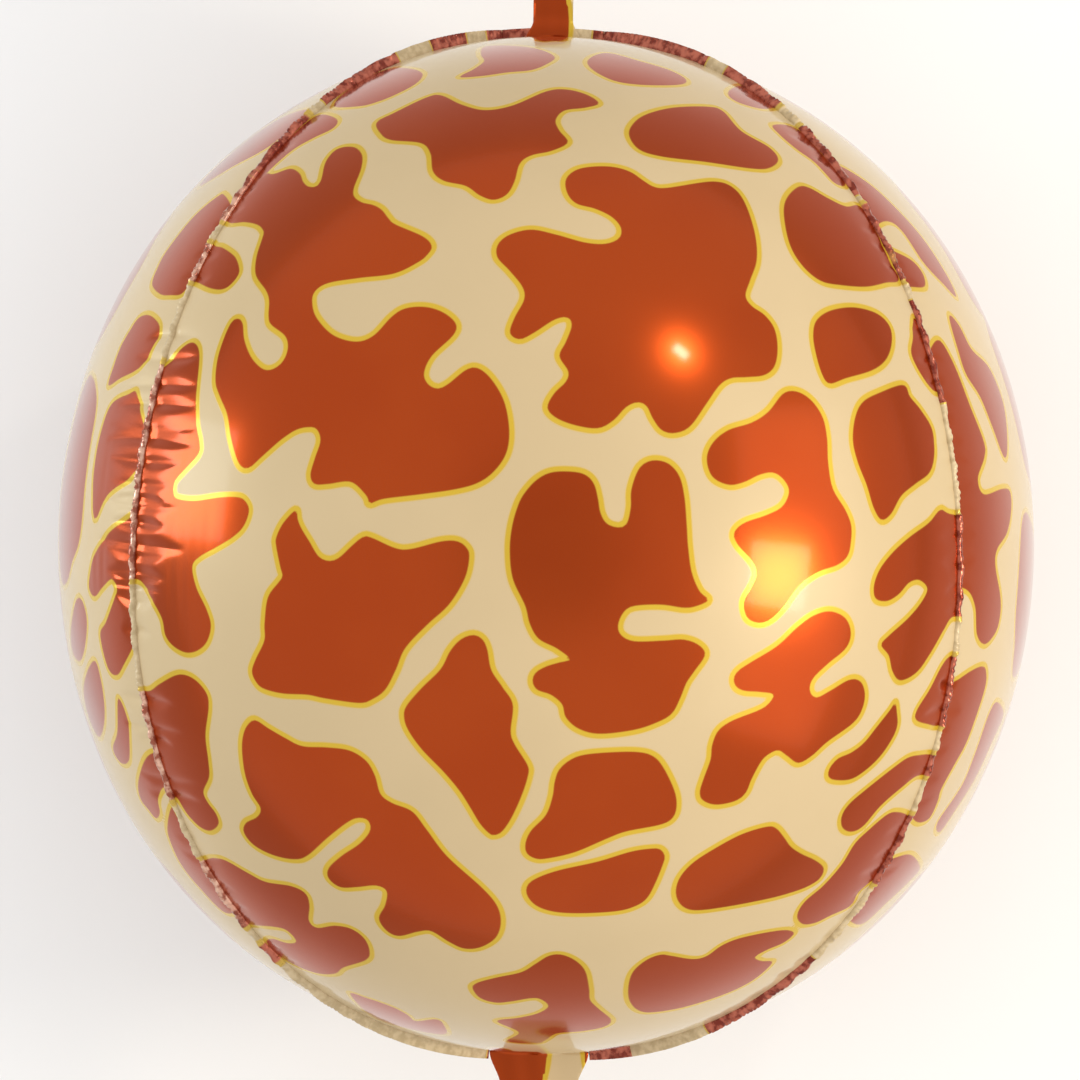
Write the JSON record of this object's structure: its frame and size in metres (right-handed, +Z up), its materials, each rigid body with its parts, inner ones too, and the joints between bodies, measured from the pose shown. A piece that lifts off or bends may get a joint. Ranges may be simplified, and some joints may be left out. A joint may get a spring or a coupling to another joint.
{
  "type": "foil balloon",
  "caption": "Round inflated foil balloon with a giraffe-style print, crinkled seam welds, a hanging tab and a flat filling tail, lying on its back.",
  "frame": {"origin": "middle of the small flat spot under the back panel, which the balloon lies on", "axes": "+Y from the filling tail to the hanging tab, along the pole axis; +Z up, the way the front panel faces; +X towards the right side panel"},
  "size_m": [0.381, 0.498, 0.3776],
  "materials": {
    "printed_film": "glossy metallised film with a printed pattern"
  },
  "bodies": {
    "root": {"envelope": "printed_film"}
  },
  "joints": []
}
